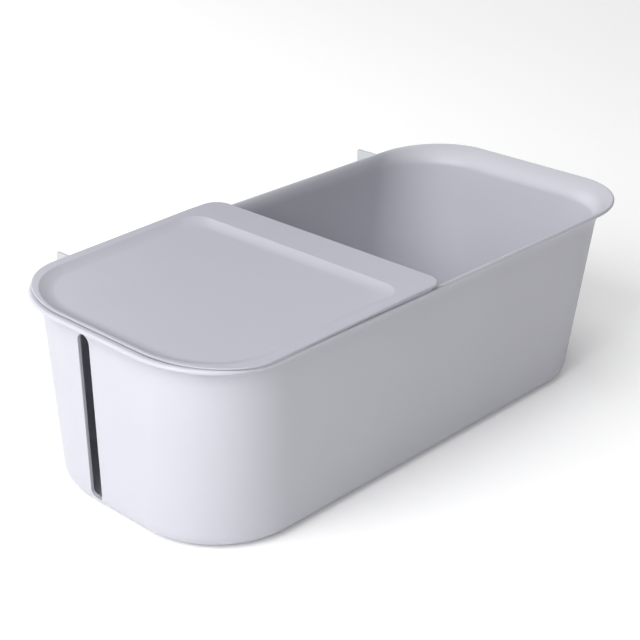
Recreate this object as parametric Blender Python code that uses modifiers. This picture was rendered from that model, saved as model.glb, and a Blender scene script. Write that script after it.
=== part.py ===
"""Hanging cable tray: a moulded tub with a half lid, two hanging hooks and four feet.

Frame: +X runs along the tub away from the cable slot, +Z is up, -Y is the long side
that faces the room and +Y the side that hangs. z = 0 is the floor the feet stand on.
Lengths are metres.
"""
import math

import bmesh
import bpy

# ---- overall sizes -------------------------------------------------------------
RIM_LENGTH = 0.4055        # rim, end to end
RIM_WIDTH = 0.1908         # rim, side to side
RIM_TOP_Z = 0.1250         # top of the rim above the floor
WALL = 0.0025              # tub wall
FLOOR = 0.0030             # tub floor
GAP = 0.0003               # air between neighbouring pieces

# ---- feet ----------------------------------------------------------------------
FOOT_R = 0.0060
FOOT_PROUD = 0.0008        # how far a foot stands below the base
FOOT_SUNK = 0.0012         # pocket depth in the base
FOOT_X = 0.1430            # feet from the middle, along the tub
FOOT_Y = 0.0480            # feet from the tub's centre line

# ---- tub -----------------------------------------------------------------------
BASE_Z = FOOT_PROUD
BASE_FILLET = 0.0090       # outside rounding between base and wall
BASE_CORNER_R = 0.0580     # upright corners at the base
CORNER_TIGHTEN = 0.0064    # how much less that radius is at the rim
DRAFT = {"near": 0.0022, "far": 0.0090, "front": 0.0096, "rear": 0.0038}
LIP = {"near": 0.0085, "far": 0.0152, "front": 0.0032, "rear": 0.0022}
LIP_RISE = {"near": 0.0047, "far": 0.0100}
RIM_CORNER = {"near": (0.0476, 0.0608), "far": (0.0566, 0.0488)}
LIP_TURN = math.radians(84)      # how far the lip has turned outward at its edge
LIP_LEAN = math.radians(72)      # lean of its thickness there
CORNER_STEPS = 11
LIP_STEPS = 7
LID_LONG = 9

# ---- cable slot in the near end --------------------------------------------------
SLOT_WIDTH = 0.0102
SLOT_BOTTOM_Z = 0.0056
SLOT_TOP_Z = 0.1156
SLOT_OFFSET = 0.0204       # slot centre from the tub's centre line, to the rear

# ---- hooks and their sockets ---------------------------------------------------
HOOK_X = 0.1395            # hooks from the middle, along the tub
HOOK_REACH = 0.0190        # hook's back edge behind the rim
HOOK_THICK = 0.0022
HOOK_TOP_Z = 0.1238
HOOK_ARM = 0.0140          # height of the arm that joins stem and finger
HOOK_STEM = 0.0055         # stem depth outside the foot plate
HOOK_FINGER = 0.0054       # finger depth
HOOK_FINGER_Z = 0.0700     # finger's lower end
HOOK_LIP_GAP = 0.0006      # arm from the rim's rear edge
KEY_HALF = 0.0042          # half width of the foot plate held in the socket
KEY_THICK = 0.0024
SOCKET_HALF = 0.0072
SOCKET_Z = (0.0580, 0.1060)
SOCKET_ROOF = 0.0060       # solid above the foot plate
SOCKET_FACE = 0.0020       # depth of the two jaws that hold the foot plate
KEY_BACK = 0.0018          # foot plate's inner face inside the rim's rear edge
KEY_Z = 0.0610             # foot plate's lower end
HOOK_TRAVEL = 0.0500       # downward pull that frees a hook

# ---- lid -----------------------------------------------------------------------
LID_NEAR_INSET = 0.0044    # lid's near edge inside the rim
LID_OVERHANG = 0.0023      # lid's long edges outside the rim, at FLARE_FROM_X
LID_FLARE = 0.15           # widening towards the free edge, per metre
FLARE_FROM_X = -0.1500
LID_FLANGE = 0.0013        # thickness of the overhanging edge
LID_FAR_X = -0.0175        # lid's free edge
LID_NEAR_CORNER = (0.0432, 0.0630)
LID_FAR_CORNER = 0.0120
LID_SHELL = 0.0018
LID_STEP_OUT = (0.0004, 0.0032, 0.0018)    # step on the rim: near edge, long sides, free edge
LID_STEP_IN = (0.0012, 0.0060, 0.0036)
LID_EDGE = (0.0008, 0.0010, 0.0010)        # rounding along the same edges
LID_NEAR_TOP_Z = 0.1256    # border top at the near edge
LID_FAR_TOP_Z = 0.1298     # top of the raised strip
LID_DROP_NEAR = 0.0008     # the near edge nests this far down inside the lip
LID_NEST = 0.5             # share of the near corners over which it drops
STRIP = 0.0270             # width of the raised strip
BORDER_NEAR = 0.0018
BORDER_SIDE = 0.0076
POCKET_SLOPE = 0.0100
POCKET_DEPTH = 0.0028
POCKET_FAR_CORNER = 0.0150
RIB_THICK = 0.0016
RIB_Z = 0.1190             # lower edge of the locating ribs
RIB_GAP = 0.0009           # ribs from the tub's inner walls
RIB_SIDE_X = (-0.1263, -0.0506)
RIB_END_HALF = 0.030

# ---- derived ---------------------------------------------------------------------
HALF_L = RIM_LENGTH / 2
HALF_W = RIM_WIDTH / 2
LID_WIDEST = (HALF_W + LID_OVERHANG) * (1 + LID_FLARE * (LID_FAR_X - LID_FAR_CORNER - FLARE_FROM_X))
TUB_Y = (LID_WIDEST - HALF_W - HOOK_REACH) / 2
REAR_Y = TUB_Y + HALF_W
LIP_END_Z = RIM_TOP_Z - WALL * math.sin(LIP_LEAN)
KEY_Y = REAR_Y - KEY_BACK
SOCKET_Y = KEY_Y + KEY_THICK + GAP + SOCKET_FACE
STRIP_X = LID_FAR_X - STRIP

SHELL_PLASTIC = ("tray_plastic", (0.72, 0.715, 0.76), 0.42)
LID_PLASTIC = ("lid_plastic", (0.70, 0.695, 0.745), 0.45)
HOOK_PLASTIC = ("hook_plastic", (0.84, 0.87, 0.86), 0.30)
FOOT_RUBBER = ("foot_rubber", (0.34, 0.34, 0.36), 0.85)


# ---- scene helpers -----------------------------------------------------------------
def clear_scene():
    for obj in list(bpy.data.objects):
        bpy.data.objects.remove(obj, do_unlink=True)
    for coll in list(bpy.data.collections):
        bpy.data.collections.remove(coll)


def new_collection(name):
    coll = bpy.data.collections.new(name)
    bpy.context.scene.collection.children.link(coll)
    return coll


def material(spec):
    name, colour, roughness = spec
    mat = bpy.data.materials.get(name) or bpy.data.materials.new(name)
    mat.use_nodes = True
    bsdf = mat.node_tree.nodes["Principled BSDF"]
    bsdf.inputs["Base Color"].default_value = (*colour, 1.0)
    bsdf.inputs["Roughness"].default_value = roughness
    bsdf.inputs["Metallic"].default_value = 0.0
    return mat


def make_object(name, bm, coll, spec=None, smooth=True):
    """Turn a bmesh into a named object in one collection."""
    bmesh.ops.recalc_face_normals(bm, faces=bm.faces)
    mesh = bpy.data.meshes.new(name)
    bm.to_mesh(mesh)
    bm.free()
    obj = bpy.data.objects.new(name, mesh)
    coll.objects.link(obj)
    if spec:
        mesh.materials.append(material(spec))
    if smooth:
        mesh.shade_smooth()
        mesh.set_sharp_from_angle(angle=math.radians(32))
    return obj


def cutter(name, bm):
    obj = make_object(name, bm, CUTTERS, smooth=False)
    obj.hide_render = True
    obj.display_type = "WIRE"
    return obj


def boolean(obj, other, operation):
    mod = obj.modifiers.new(f"{operation.lower()}_{other.name}", "BOOLEAN")
    mod.object = other
    mod.operation = operation
    mod.solver = "EXACT"


def bevel(obj, width, segments=2, angle=40):
    mod = obj.modifiers.new("bevel", "BEVEL")
    mod.width = width
    mod.segments = segments
    mod.limit_method = "ANGLE"
    mod.angle_limit = math.radians(angle)


def box(low, high):
    """bmesh of an axis-aligned box from its low to its high corner."""
    bm = bmesh.new()
    bmesh.ops.create_cube(bm, size=1.0)
    for vert in bm.verts:
        vert.co = [lo + (c + 0.5) * (hi - lo) for c, lo, hi in zip(vert.co, low, high)]
    return bm


def loft(loops):
    """Closed solid through rings of points with equal counts, capped at both ends."""
    bm = bmesh.new()
    rings = [[bm.verts.new(p) for p in loop] for loop in loops]
    count = len(rings[0])
    for low, high in zip(rings, rings[1:]):
        for i in range(count):
            j = (i + 1) % count
            bm.faces.new((low[i], low[j], high[j], high[i]))
    bm.faces.new(list(reversed(rings[0])))
    bm.faces.new(rings[-1])
    return bm


def plate(flat, x0, x1):
    """Solid with a flat (y, z) outline, extruded along X from x0 to x1."""
    bm = bmesh.new()
    face = bm.faces.new([bm.verts.new((x0, y, z)) for y, z in flat])
    grown = bmesh.ops.extrude_face_region(bm, geom=[face])["geom"]
    bmesh.ops.translate(bm, verts=[g for g in grown if isinstance(g, bmesh.types.BMVert)],
                        vec=(x1 - x0, 0, 0))
    return bm


# ---- outlines ----------------------------------------------------------------------
def outline(near, far, front, rear, near_r, far_r):
    """Rounded rectangle round the tub's centre; radii are (along X, along Y)."""
    points = []
    for sx, sy, start in ((1, 1, 0), (-1, 1, 90), (-1, -1, 180), (1, -1, 270)):
        rx, ry = far_r if sx > 0 else near_r
        cx = sx * ((far if sx > 0 else near) - rx)
        cy = sy * ((rear if sy > 0 else front) - ry)
        for k in range(CORNER_STEPS + 1):
            a = math.radians(start + 90 * k / CORNER_STEPS)
            points.append((cx + rx * math.cos(a), cy + ry * math.sin(a)))
    return points


def wall_outline(z, inset):
    """The tub's outer wall at height z, moved in by inset."""
    up = (z - BASE_Z) / (RIM_TOP_Z - BASE_Z)
    side = {k: (HALF_L if k in ("near", "far") else HALF_W) - LIP[k] - DRAFT[k] * (1 - up) - inset
            for k in LIP}
    r = BASE_CORNER_R - CORNER_TIGHTEN * up - inset
    return outline(side["near"], side["far"], side["front"], side["rear"], (r, r), (r, r))


def rim_outline(inset):
    near, far = ((rx - inset, ry - inset) for rx, ry in (RIM_CORNER["near"], RIM_CORNER["far"]))
    return outline(HALF_L - inset, HALF_L - inset, HALF_W - inset, HALF_W - inset, near, far)


def along(x):
    """0 at the near end of the rim, 1 at the far end."""
    return min(max((x + HALF_L) / RIM_LENGTH, 0.0), 1.0)


def lip_rise(x):
    return LIP_RISE["near"] + (LIP_RISE["far"] - LIP_RISE["near"]) * along(x)


def place(points, heights):
    return [(x, y + TUB_Y, z) for (x, y), z in zip(points, heights)]


def flat_ring(z, inset):
    return place(wall_outline(z, inset), [z] * (4 * (CORNER_STEPS + 1)))


def lip_ring(turn, inset, lift):
    """One ring of the lip: turn runs from 0 at the wall to LIP_TURN at the edge."""
    spread = (1 - math.cos(turn)) / (1 - math.cos(LIP_TURN))
    climb = 1 - math.sin(turn) / math.sin(LIP_TURN)
    rim, top = rim_outline(inset), wall_outline(RIM_TOP_Z, inset)
    points, heights = [], []
    for i, (x, y) in enumerate(top):
        z = LIP_END_Z - lip_rise(rim[i][0]) * climb
        wx, wy = wall_outline(z, inset)[i]
        points.append((wx + (rim[i][0] - x) * spread, wy + (rim[i][1] - y) * spread))
        heights.append(z + lift)
    return place(points, heights)


def rim_ring(z, inset):
    return place(rim_outline(inset), [z] * (4 * (CORNER_STEPS + 1)))


def fillet_rings(z, radius, inset, steps):
    """Rings that round a flat floor into the wall."""
    rings = []
    for k in range(steps + 1):
        a = math.pi / 2 * k / steps
        rings.append(flat_ring(z + radius * (1 - math.cos(a)), inset + radius * (1 - math.sin(a))))
    return rings


# ---- tub ---------------------------------------------------------------------------
def tub_outer():
    loops = fillet_rings(BASE_Z, BASE_FILLET, 0.0, 5)
    loops.append(flat_ring(0.060, 0.0))
    loops += [lip_ring(LIP_TURN * k / LIP_STEPS, 0.0, 0.0) for k in range(LIP_STEPS + 1)]
    for down, inset in ((0.00110, 0.0), (0.00045, 0.00012), (0.00012, 0.00032), (0.0, 0.00060)):
        loops.append(rim_ring(RIM_TOP_Z - down, inset))
    return loft(loops)


def tub_inner():
    loops = fillet_rings(BASE_Z + FLOOR, BASE_FILLET - WALL, WALL, 5)
    loops.append(flat_ring(0.060, WALL))
    for k in range(LIP_STEPS + 1):
        lean = LIP_LEAN * k / LIP_STEPS
        loops.append(lip_ring(LIP_TURN * k / LIP_STEPS, WALL * math.cos(lean), WALL * math.sin(lean)))
    loops.append(rim_ring(RIM_TOP_Z + 0.0006, -0.0004))
    loops.append(rim_ring(RIM_TOP_Z + 0.0100, -0.0004))
    return loft(loops)


def slot_prism():
    """Upright slot with round ends, cut through the near wall."""
    r = SLOT_WIDTH / 2
    centre = TUB_Y + SLOT_OFFSET
    low, high = SLOT_BOTTOM_Z + r, SLOT_TOP_Z - r
    loop = []
    for cz, start in ((high, 0), (low, 180)):
        for k in range(13):
            a = math.radians(start + 15 * k)
            loop.append((centre + r * math.cos(a), cz + r * math.sin(a)))
    return plate(loop, -HALF_L - 0.002, -HALF_L + 0.026)


def build_tub():
    tub = make_object("tub", tub_outer(), PARTS, SHELL_PLASTIC)
    for side, sx in (("left", -1), ("right", 1)):
        x = sx * HOOK_X
        low = (x - SOCKET_HALF, KEY_Y - 0.009, SOCKET_Z[0])
        high = (x + SOCKET_HALF, SOCKET_Y, SOCKET_Z[1])
        boss = cutter(f"socket_{side}", box(low, high))
        bevel(boss, 0.0012)
        boolean(tub, boss, "UNION")
    boolean(tub, cutter("tub_hollow", tub_inner()), "DIFFERENCE")
    boolean(tub, cutter("cable_slot", slot_prism()), "DIFFERENCE")
    roof = SOCKET_Z[1] - SOCKET_ROOF
    for side, sx in (("left", -1), ("right", 1)):
        x = sx * HOOK_X
        half = KEY_HALF + GAP
        room = box((x - half, KEY_Y - GAP, SOCKET_Z[0] - 0.004), (x + half, KEY_Y + KEY_THICK + GAP, roof))
        boolean(tub, cutter(f"key_room_{side}", room), "DIFFERENCE")
        half = HOOK_THICK / 2 + GAP
        slit = box((x - half, KEY_Y + GAP, SOCKET_Z[0] - 0.004), (x + half, SOCKET_Y + 0.004, SOCKET_Z[1] + 0.004))
        boolean(tub, cutter(f"key_slit_{side}", slit), "DIFFERENCE")
    for name, x, y in FEET:
        bm = bmesh.new()
        bmesh.ops.create_cone(bm, cap_ends=True, segments=32, radius1=FOOT_R + GAP, radius2=FOOT_R + GAP,
                              depth=0.006)
        bmesh.ops.translate(bm, verts=bm.verts, vec=(x, y, BASE_Z + FOOT_SUNK - 0.003))
        boolean(tub, cutter(f"pocket_{name}", bm), "DIFFERENCE")
    return tub


def build_foot(name, x, y):
    top = BASE_Z + FOOT_SUNK - GAP
    bm = bmesh.new()
    bmesh.ops.create_cone(bm, cap_ends=True, segments=32, radius1=FOOT_R, radius2=FOOT_R, depth=top)
    bmesh.ops.translate(bm, verts=bm.verts, vec=(x, y, top / 2))
    foot = make_object(name, bm, PARTS, FOOT_RUBBER)
    bevel(foot, 0.0004)
    return foot


# ---- hooks -------------------------------------------------------------------------
def hook_profile():
    """Side view of a hook: stem, arm and finger, as (y, z) points."""
    stem_in, stem_out = KEY_Y + KEY_THICK / 2, SOCKET_Y + HOOK_STEM - SOCKET_FACE
    back = REAR_Y + HOOK_REACH
    finger_in = back - HOOK_FINGER
    arm_z = HOOK_TOP_Z - HOOK_ARM
    inner, tip = 0.0012, HOOK_FINGER / 2
    points = [(stem_in, KEY_Z), (stem_out, KEY_Z)]
    for k in range(5):                       # inside corner between stem and arm
        a = math.radians(180 - 22.5 * k)
        points.append((stem_out + inner + inner * math.cos(a), arm_z - inner + inner * math.sin(a)))
    for k in range(5):                       # inside corner between arm and finger
        a = math.radians(90 - 22.5 * k)
        points.append((finger_in - inner + inner * math.cos(a), arm_z - inner + inner * math.sin(a)))
    for k in range(9):                       # round tip of the finger
        a = math.radians(180 + 22.5 * k)
        points.append((back - tip + tip * math.cos(a), HOOK_FINGER_Z + tip + tip * math.sin(a)))
    for k in range(4):                       # outer corner at the top
        a = math.radians(30 * k)
        points.append((back - 0.0010 + 0.0010 * math.cos(a), HOOK_TOP_Z - 0.0010 + 0.0010 * math.sin(a)))
    clear, neck = REAR_Y + HOOK_LIP_GAP, SOCKET_Z[1]
    return points + [(clear, HOOK_TOP_Z), (clear, neck + 0.003), (stem_in, neck + 0.002)]


def build_hook(name, x):
    half = HOOK_THICK / 2
    hook = make_object(name, plate(hook_profile(), x - half, x + half), PARTS, HOOK_PLASTIC)
    top = SOCKET_Z[1] - SOCKET_ROOF - GAP
    key = cutter(f"key_{name}", box((x - KEY_HALF, KEY_Y, KEY_Z), (x + KEY_HALF, KEY_Y + KEY_THICK, top)))
    boolean(hook, key, "UNION")
    bevel(hook, 0.0003, segments=1, angle=60)
    return hook


# ---- lid ---------------------------------------------------------------------------
def lid_top(x):
    """Height of the lid's border: it climbs from the near edge to the raised strip."""
    start = -HALF_L + LID_NEAR_INSET
    t = min(max((x - start) / (STRIP_X - start), 0.0), 1.0)
    return LID_NEAR_TOP_Z + (LID_FAR_TOP_Z - LID_NEAR_TOP_Z) * t


def lid_bottom(x):
    """The lid rests on the rim, except that its near end drops inside the lip."""
    start = -HALF_L + LID_NEAR_INSET
    end = start + LID_NEST * LID_NEAR_CORNER[0]
    t = min(max((end - x) / (end - start), 0.0), 1.0)
    return RIM_TOP_Z + GAP - LID_DROP_NEAR * t * t * (3 - 2 * t)


def lid_soffit(x):
    """Underside of the lid's border."""
    recess = min(max(lid_top(x) - LID_SHELL, lid_bottom(x) + 0.0003), lid_top(x) - 0.0010)
    return max(recess, lid_bottom(x) + 0.0001)


def lid_flange(x):
    """Underside of the edge, outside the step that stands on the rim."""
    return max(lid_top(x) - LID_FLANGE, lid_bottom(x) + 0.00005)


def lid_shoulder(x, share):
    """Height on the rounding between the lid's side and its top."""
    return lid_top(x) - share * min(LID_EDGE[1], 0.55 * (lid_top(x) - lid_flange(x)))


def lid_outline(near_in, side_in, far_in, far_corner):
    """Lid outline with its own inset on each side; the far edge is at LID_FAR_X."""
    middle = (LID_FAR_X - far_in - HALF_L + LID_NEAR_INSET + near_in) / 2
    half = (LID_FAR_X - far_in + HALF_L - LID_NEAR_INSET - near_in) / 2
    side = HALF_W + LID_OVERHANG - side_in
    near_r = (LID_NEAR_CORNER[0] - near_in, LID_NEAR_CORNER[1] - side_in)
    flat = outline(half, half, side, side, near_r, (far_corner, far_corner))
    turn, points = CORNER_STEPS + 1, []
    for first in range(0, len(flat), turn):
        points += flat[first:first + turn]
        if first in (0, 2 * turn):                 # the two long sides
            (x0, y), (x1, _) = flat[first + turn - 1], flat[first + turn]
            points += [(x0 + (x1 - x0) * k / LID_LONG, y) for k in range(1, LID_LONG)]
    return [(x + middle, y * (1 + LID_FLARE * (x + middle - FLARE_FROM_X))) for x, y in points]


def lid_ring(insets, far_corner, height):
    points = lid_outline(*insets, far_corner)
    return place(points, [height(x) for x, _ in points])


def pocket_drop(t):
    """Depth of the pocket across its slope: steep near the border, with a long soft foot."""
    u = t ** 0.6
    return POCKET_DEPTH * u * u * (3 - 2 * u)


def build_lid():
    corner = LID_FAR_CORNER
    border = (BORDER_NEAR, BORDER_SIDE, STRIP)

    def slope_ring(t, height):
        return lid_ring([b + POCKET_SLOPE * t for b in border], POCKET_FAR_CORNER, height)

    def edge_ring(insets, height):
        return lid_ring(insets, corner - insets[2], height)

    loops = []
    # underside, from the middle of the pocket floor out to the edge
    for t in (1.0, 0.75, 0.5, 0.35, 0.22, 0.12, 0.05, 0.0):
        drop = pocket_drop(t)
        loops.append(slope_ring(t, lambda x, d=drop: (
            lid_top(x) - LID_SHELL - d if d > 0.8 * POCKET_DEPTH
            else lid_soffit(x) - d * (1 + (lid_soffit(x) - lid_top(x) + LID_SHELL) / (0.8 * POCKET_DEPTH)))))
    loops.append(edge_ring(LID_STEP_IN, lid_soffit))
    loops.append(edge_ring(LID_STEP_IN, lid_bottom))
    loops.append(edge_ring(LID_STEP_OUT, lid_bottom))
    loops.append(edge_ring(LID_STEP_OUT, lid_flange))
    # outside, from the lower edge over the border into the pocket
    loops.append(edge_ring((0.0002,) * 3, lid_flange))
    loops.append(edge_ring((0.0,) * 3, lambda x: lid_flange(x) + 0.0002))
    for k in range(5):
        a = math.pi / 2 * k / 4
        loops.append(edge_ring([e * (1 - math.cos(a)) for e in LID_EDGE],
                               lambda x, s=1 - math.sin(a): lid_shoulder(x, s)))
    for t in (0.0, 0.04, 0.09, 0.15, 0.22, 0.3, 0.4, 0.5, 0.62, 0.75, 0.88, 1.0):
        loops.append(slope_ring(t, lambda x, d=pocket_drop(t): lid_top(x) - d))
    lid = make_object("lid", loft(loops), PARTS, LID_PLASTIC)

    up = (RIM_TOP_Z - 0.004 - BASE_Z) / (RIM_TOP_Z - BASE_Z)
    for side, sy in (("front", -1), ("rear", 1)):
        wall = HALF_W - LIP[side] - DRAFT[side] * (1 - up) - WALL - RIB_GAP
        across = (HALF_W + LID_OVERHANG - wall + RIB_THICK - BORDER_SIDE + 0.0008) / POCKET_SLOPE
        below = pocket_drop(min(max(across, 0.0), 1.0)) + 0.00035
        y = sorted((TUB_Y + sy * wall, TUB_Y + sy * (wall - RIB_THICK)))
        rib = box((RIB_SIDE_X[0], y[0], RIB_Z), (RIB_SIDE_X[1], y[1], RIM_TOP_Z))
        for vert in rib.verts:
            if vert.co.z > RIB_Z + 0.001:
                vert.co.z = lid_top(vert.co.x) - below
        boolean(lid, cutter(f"rib_{side}", rib), "UNION")
    x = -HALF_L + LIP["near"] + WALL + RIB_GAP
    rib = cutter("rib_near", box((x, TUB_Y - RIB_END_HALF, RIB_Z), (x + RIB_THICK, TUB_Y + RIB_END_HALF,
                                                                   lid_top(x) - POCKET_DEPTH - 0.0005)))
    boolean(lid, rib, "UNION")
    return lid


# ---- assembly ----------------------------------------------------------------------
clear_scene()
PARTS = new_collection("cable tray")
CUTTERS = new_collection("cutters")
CUTTERS.hide_render = True
FEET = [(f"foot_{end}_{side}", sx * FOOT_X, TUB_Y + sy * FOOT_Y)
        for end, sx in (("near", -1), ("far", 1)) for side, sy in (("front", -1), ("rear", 1))]

build_tub()
build_lid()
build_hook("hook_left", -HOOK_X)
build_hook("hook_right", HOOK_X)
for foot_name, foot_x, foot_y in FEET:
    build_foot(foot_name, foot_x, foot_y)
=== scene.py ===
"""Looks of a hanging cable tray: a moulded tub, its lift-off half lid, two hooks and four feet.

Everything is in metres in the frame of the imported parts: +X along the tub away from its cable
slot, -Y towards the room, +Y towards the hooks, +Z up from the floor at z = 0.
"""
import logging
import math
from dataclasses import dataclass, replace
from enum import Enum
from typing import Callable, Iterable

import bmesh
import bpy
from mathutils import Euler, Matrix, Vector


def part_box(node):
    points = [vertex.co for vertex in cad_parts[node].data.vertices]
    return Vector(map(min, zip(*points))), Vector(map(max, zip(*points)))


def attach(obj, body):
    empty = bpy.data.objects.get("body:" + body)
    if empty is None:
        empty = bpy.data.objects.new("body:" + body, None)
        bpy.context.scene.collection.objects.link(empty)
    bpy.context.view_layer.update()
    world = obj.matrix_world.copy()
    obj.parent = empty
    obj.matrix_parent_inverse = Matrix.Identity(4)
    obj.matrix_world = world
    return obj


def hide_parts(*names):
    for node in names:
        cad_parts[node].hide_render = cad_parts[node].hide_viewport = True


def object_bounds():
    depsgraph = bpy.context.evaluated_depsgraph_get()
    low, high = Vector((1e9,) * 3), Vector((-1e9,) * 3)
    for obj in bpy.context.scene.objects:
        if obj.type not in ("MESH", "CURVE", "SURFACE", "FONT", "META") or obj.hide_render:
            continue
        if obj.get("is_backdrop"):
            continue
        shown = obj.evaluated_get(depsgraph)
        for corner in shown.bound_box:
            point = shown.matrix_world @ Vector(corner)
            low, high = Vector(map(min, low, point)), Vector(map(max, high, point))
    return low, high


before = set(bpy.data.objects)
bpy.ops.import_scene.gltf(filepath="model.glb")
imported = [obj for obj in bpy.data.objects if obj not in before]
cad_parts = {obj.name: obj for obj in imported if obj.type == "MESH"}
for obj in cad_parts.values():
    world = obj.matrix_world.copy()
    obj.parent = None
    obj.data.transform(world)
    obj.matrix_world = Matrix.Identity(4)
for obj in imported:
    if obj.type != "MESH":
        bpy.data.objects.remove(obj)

LOG = logging.getLogger("cable_tray")
MM = 0.001
SHARP_FROM = math.radians(38)      # edges that turn by more than this stay sharp in the shading

BMesh = bmesh.types.BMesh
BMVert = bmesh.types.BMVert
BMEdge = bmesh.types.BMEdge
Socket = bpy.types.NodeSocket
Point2 = tuple[float, float]
Point3 = tuple[float, float, float]
Ring = list[Point3]


# ---- mesh work ---------------------------------------------------------------------------
def ease(t: float) -> float:
    """Smooth step from 0 to 1."""
    return t * t * (3 - 2 * t)


def quarter(steps: int) -> list[Point2]:
    """A quarter turn, for roundings that are drawn ring by ring.

    Args:
        steps: how many parts it is divided into.

    Returns:
        (1 - sin, 1 - cos) at every step, from (1, 0) to (0, 1).
    """
    turns = [math.pi / 2 * k / steps for k in range(steps + 1)]
    return [(1 - math.sin(a), 1 - math.cos(a)) for a in turns]


@dataclass(frozen=True)
class Sides:
    """One length for each side of the tray."""

    near: float
    far: float
    front: float
    rear: float

    def shrunk(self, inset: float) -> "Sides":
        """The same four lengths, each shorter by inset."""
        return Sides(self.near - inset, self.far - inset, self.front - inset, self.rear - inset)


@dataclass(frozen=True)
class Divisions:
    """How finely an outline is divided: steps round a corner and along each straight."""

    corner: int = 26
    long: int = 32
    near: int = 1
    far: int = 14


@dataclass(frozen=True)
class Plan:
    """A rounded rectangle seen from above; its corner radii are (along X, along Y)."""

    reach: Sides
    near_corner: Point2
    far_corner: Point2
    steps: Divisions = Divisions()

    def points(self) -> list[Point2]:
        """Points round the outline, counter-clockwise from its far rear corner.

        Returns:
            As many (x, y) points for every plan with the same steps.
        """
        arcs = []
        for sx, sy, start in ((1, 1, 0), (-1, 1, 90), (-1, -1, 180), (1, -1, 270)):
            rx, ry = self.far_corner if sx > 0 else self.near_corner
            cx = sx * ((self.reach.far if sx > 0 else self.reach.near) - rx)
            cy = sy * ((self.reach.rear if sy > 0 else self.reach.front) - ry)
            turns = [math.radians(start + 90 * k / self.steps.corner)
                     for k in range(self.steps.corner + 1)]
            arcs.append([(cx + rx * math.cos(a), cy + ry * math.sin(a)) for a in turns])
        straights = (self.steps.long, self.steps.near, self.steps.long, self.steps.far)
        points = []
        for arc, after, count in zip(arcs, arcs[1:] + arcs[:1], straights):
            points += arc
            (x0, y0), (x1, y1) = arc[-1], after[0]
            points += [(x0 + (x1 - x0) * k / count, y0 + (y1 - y0) * k / count)
                       for k in range(1, count)]
        return points


class Skin:
    """A closed skin drawn up ring by ring from one loop of edges."""

    def __init__(self, first: Ring) -> None:
        """Start the skin.

        Args:
            first: the first ring's points.
        """
        self.bm = bmesh.new()
        self.ring = bmesh.ops.create_circle(self.bm, radius=1.0, segments=len(first))["verts"]
        self._place(first)
        self.first = list(self.ring)

    def _place(self, ring: Ring) -> None:
        """Move the open ring's vertices to the given points."""
        for vert, point in zip(self.ring, ring):
            vert.co = point

    def _loop(self, verts: list[BMVert]) -> list[BMEdge]:
        """The edges that join these vertices into a loop."""
        return [self.bm.edges.get(pair) for pair in zip(verts, verts[1:] + verts[:1])]

    def grow(self, rings: Iterable[Ring]) -> "Skin":
        """Extrude the open edge loop through more rings.

        Args:
            rings: each ring has as many points as the first.

        Returns:
            The skin itself.
        """
        for ring in rings:
            made = bmesh.ops.extrude_edge_only(self.bm, edges=self._loop(self.ring))["geom"]
            fresh = {g for g in made if isinstance(g, BMVert)}
            self.ring = [next(e.other_vert(v) for e in v.link_edges if e.other_vert(v) in fresh)
                         for v in self.ring]
            self._place(ring)
        return self

    def close(self) -> BMesh:
        """Close both ends with a flat face and turn every face outwards."""
        for loop in (self.first, self.ring):
            bmesh.ops.contextual_create(self.bm, geom=self._loop(loop))
        bmesh.ops.recalc_face_normals(self.bm, faces=self.bm.faces)
        return self.bm


def block(low: Point3, high: Point3) -> BMesh:
    """A box between two corners."""
    bm = bmesh.new()
    bmesh.ops.create_cube(bm, size=1.0)
    size = Vector(high) - Vector(low)
    bmesh.ops.scale(bm, verts=bm.verts, vec=size)
    bmesh.ops.translate(bm, verts=bm.verts, vec=Vector(low) + size / 2)
    return bm


def soften(bm: BMesh, edges: Iterable[BMEdge], radius: float,
           steps: int = 3) -> None:
    """Round some edges.

    Args:
        bm: the mesh.
        edges: the edges to round.
        radius: the rounding's radius.
        steps: faces across the rounding.
    """
    bmesh.ops.bevel(bm, geom=list(edges), offset=radius, offset_type="OFFSET", segments=steps,
                    profile=0.5, affect="EDGES", clamp_overlap=False, material=-1)


def sharp(bm: BMesh, above: float = 40.0,
          inside: Callable[[Vector], bool] = lambda point: True) -> list[BMEdge]:
    """The edges that turn by more than an angle.

    Args:
        bm: the mesh.
        above: the angle, in degrees.
        inside: tells whether an edge's middle is in the region asked for.

    Returns:
        The edges found.
    """
    limit = math.radians(above)
    return [e for e in bm.edges if len(e.link_faces) == 2 and e.calc_face_angle() > limit
            and inside((e.verts[0].co + e.verts[1].co) / 2)]


def draft_object(name: str, bm: BMesh) -> bpy.types.Object:
    """Put a mesh into the scene under a name; the bmesh is freed."""
    mesh = bpy.data.meshes.new(name)
    bm.to_mesh(mesh)
    bm.free()
    obj = bpy.data.objects.new(name, mesh)
    bpy.context.scene.collection.objects.link(obj)
    return obj


def carved(bm: BMesh, tools: Iterable[tuple[str, BMesh]]) -> BMesh:
    """Cut or join one mesh with others.

    Args:
        bm: the mesh to work on; it is freed.
        tools: (operation, mesh) pairs, where operation is DIFFERENCE or UNION; each is freed.

    Returns:
        The worked mesh.
    """
    body = draft_object("work", bm)
    helpers = []
    for operation, shape in tools:
        helper = draft_object("tool", shape)
        helpers.append(helper)
        cut = body.modifiers.new(operation.lower(), "BOOLEAN")
        cut.object, cut.operation, cut.solver = helper, operation, "EXACT"
    bpy.context.view_layer.update()
    result = bmesh.new()
    result.from_mesh(body.evaluated_get(bpy.context.evaluated_depsgraph_get()).to_mesh())
    for obj in (body, *helpers):
        mesh = obj.data
        bpy.data.objects.remove(obj)
        bpy.data.meshes.remove(mesh)
    bmesh.ops.remove_doubles(result, verts=result.verts, dist=1e-6)
    return result


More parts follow.
